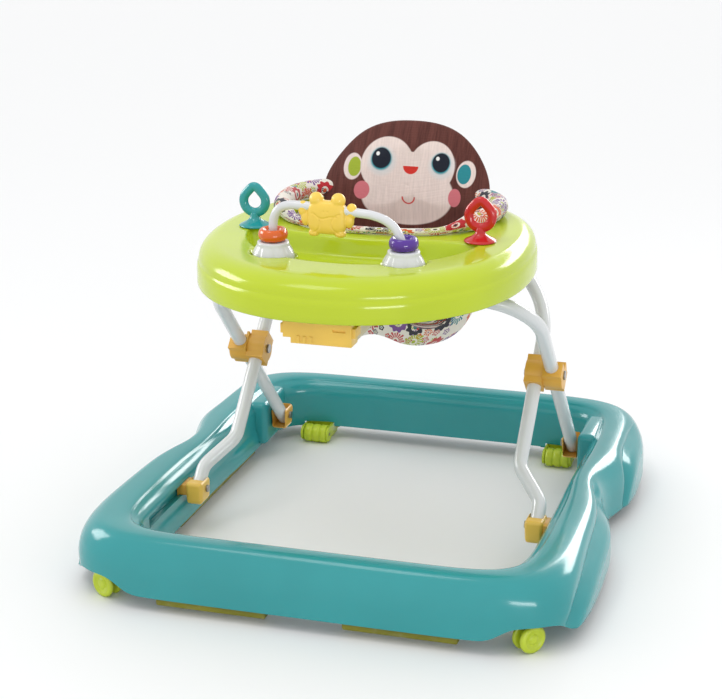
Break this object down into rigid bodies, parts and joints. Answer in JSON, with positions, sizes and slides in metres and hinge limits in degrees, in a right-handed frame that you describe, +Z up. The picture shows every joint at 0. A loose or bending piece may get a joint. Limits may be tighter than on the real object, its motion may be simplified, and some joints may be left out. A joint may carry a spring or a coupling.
{
  "type": "baby walker",
  "caption": "Folding baby walker: ring base on casters, scissor tube frames, oval activity tray with sling seat, back panel, toy arch and loop toys.",
  "frame": {"origin": "centre of the base's footprint, on the floor", "axes": "+X to the walker's right seen from its front, -Y towards its front, +Z up"},
  "size_m": [0.6748, 0.716, 0.5523],
  "materials": {
    "base_teal": "gloss",
    "strip_olive": "matt",
    "wheel_green": "satin",
    "socket_white": "satin",
    "frame_white": "gloss",
    "amber_plastic": "satin",
    "tray_lime": "gloss",
    "rail_cream": "satin",
    "seat_print": "printed woven",
    "back_print": "printed woven",
    "steel": "bright",
    "toy_white": "gloss",
    "bead_orange": "gloss",
    "bead_purple": "gloss",
    "frog_yellow": "satin",
    "loop_teal": "gloss",
    "loop_red": "gloss"
  },
  "bodies": {
    "base": {"base_ring": "base_teal", "front_strips": "strip_olive", "side_strips": "strip_olive", "caster_socket_left": "socket_white", "caster_socket_right": "socket_white", "rear_housing_left": "wheel_green", "rear_housing_right": "wheel_green", "rear_axle_left": "steel", "rear_axle_right": "steel", "leg_bracket_left": "amber_plastic", "leg_bracket_right": "amber_plastic", "leg_pin_left": "steel", "leg_pin_right": "steel"},
    "caster_left": {"caster_fork_left": "wheel_green", "caster_axle_left": "steel"},
    "caster_wheel_left": {"caster_wheel_left": "wheel_green"},
    "rear_wheel_left": {"rear_wheel_left": "wheel_green"},
    "foot_left": {"foot_left": "amber_plastic", "foot_pin_left": "steel"},
    "bead_left": {"bead_left": "bead_orange"},
    "loop_left": {"loop_left": "loop_teal"},
    "caster_right": {"caster_fork_right": "wheel_green", "caster_axle_right": "steel"},
    "caster_wheel_right": {"caster_wheel_right": "wheel_green"},
    "rear_wheel_right": {"rear_wheel_right": "wheel_green"},
    "foot_right": {"foot_right": "amber_plastic", "foot_pin_right": "steel"},
    "bead_right": {"bead_right": "bead_purple"},
    "loop_right": {"loop_right": "loop_red"},
    "outer_frame": {"outer_frame": "frame_white", "hub_outer_left": "amber_plastic", "hub_outer_right": "amber_plastic", "hub_pin_left": "steel", "hub_pin_right": "steel"},
    "inner_frame": {"inner_frame": "frame_white", "hub_inner_left": "amber_plastic", "hub_inner_right": "amber_plastic"},
    "tray": {"tray": "tray_lime", "tray_hinge": "rail_cream", "height_rail": "rail_cream", "handle_spring": "steel", "seat_sling": "seat_print", "seat_rim": "seat_print", "seat_back": "back_print", "toy_arch": "toy_white", "toy_cone_left": "toy_white", "toy_cone_right": "toy_white"},
    "slide_block": {"slide_block": "amber_plastic"},
    "height_handle": {"height_handle": "amber_plastic"},
    "frog": {"frog": "frog_yellow"}
  },
  "joints": [
    {"name": "fold", "type": "hinge", "parent": "base", "child": "outer_frame", "pos_m": [0, 0.22, 0.0656], "axis": [1, 0, 0], "range_deg": [0, 29.5]},
    {"name": "scissor", "type": "hinge", "parent": "outer_frame", "child": "inner_frame", "pos_m": [0, 0.06182, 0.22378], "axis": [1, 0, 0], "range_deg": [-59, 0]},
    {"name": "tray_level", "type": "hinge", "parent": "inner_frame", "child": "tray", "pos_m": [0, 0.20183, 0.36379], "axis": [1, 0, 0], "range_deg": [0, 29.5]},
    {"name": "slide_turn", "type": "hinge", "parent": "outer_frame", "child": "slide_block", "pos_m": [0, -0.07819, 0.36379], "axis": [1, 0, 0], "range_deg": [-29.5, 0]},
    {"name": "foot_turn_left", "type": "hinge", "parent": "inner_frame", "child": "foot_left", "pos_m": [-0.239, -0.09636, 0.0656], "axis": [1, 0, 0], "range_deg": [0, 29.5]},
    {"name": "caster_swivel_left", "type": "hinge", "parent": "base", "child": "caster_left", "pos_m": [-0.284, -0.318, 0.05], "axis": [0, 0, 1], "continuous": true},
    {"name": "caster_roll_left", "type": "hinge", "parent": "caster_left", "child": "caster_wheel_left", "pos_m": [-0.27675, -0.32138, 0.0185], "axis": [0.4226, 0.9063, 0], "continuous": true},
    {"name": "rear_roll_left", "type": "hinge", "parent": "base", "child": "rear_wheel_left", "pos_m": [-0.193, 0.287, 0.014], "axis": [1, 0, 0], "continuous": true},
    {"name": "bead_spin_left", "type": "hinge", "parent": "tray", "child": "bead_left", "pos_m": [-0.085, -0.197, 0.464], "axis": [0, 0, 1], "continuous": true},
    {"name": "loop_twist_left", "type": "hinge", "parent": "tray", "child": "loop_left", "pos_m": [-0.153, -0.077, 0.45], "axis": [0, 0, 1], "continuous": true},
    {"name": "foot_turn_right", "type": "hinge", "parent": "inner_frame", "child": "foot_right", "pos_m": [0.239, -0.09636, 0.0656], "axis": [1, 0, 0], "range_deg": [0, 29.5]},
    {"name": "caster_swivel_right", "type": "hinge", "parent": "base", "child": "caster_right", "pos_m": [0.284, -0.318, 0.05], "axis": [0, 0, 1], "continuous": true},
    {"name": "caster_roll_right", "type": "hinge", "parent": "caster_right", "child": "caster_wheel_right", "pos_m": [0.27875, -0.32404, 0.0185], "axis": [0.7547, -0.6561, 0], "continuous": true},
    {"name": "rear_roll_right", "type": "hinge", "parent": "base", "child": "rear_wheel_right", "pos_m": [0.193, 0.287, 0.014], "axis": [1, 0, 0], "continuous": true},
    {"name": "bead_spin_right", "type": "hinge", "parent": "tray", "child": "bead_right", "pos_m": [0.085, -0.197, 0.464], "axis": [0, 0, 1], "continuous": true},
    {"name": "loop_twist_right", "type": "hinge", "parent": "tray", "child": "loop_right", "pos_m": [0.153, -0.077, 0.45], "axis": [0, 0, 1], "continuous": true},
    {"name": "handle_squeeze", "type": "slide", "parent": "tray", "child": "height_handle", "axis": [0, 0, 1], "range_m": [0, 0.006], "stiffness_N_per_m": 400, "springref_m": -0.002, "deforming": ["handle_spring"]},
    {"name": "frog_spin", "type": "hinge", "parent": "tray", "child": "frog", "pos_m": [0, -0.197, 0.498], "axis": [1, 0, 0], "continuous": true}
  ],
  "couplings": [
    {"joint": "scissor", "follows": "fold", "ratio": -2},
    {"joint": "tray_level", "follows": "fold", "ratio": 1},
    {"joint": "slide_turn", "follows": "fold", "ratio": -1},
    {"joint": "foot_turn_left", "follows": "fold", "ratio": 1},
    {"joint": "foot_turn_right", "follows": "fold", "ratio": 1}
  ]
}
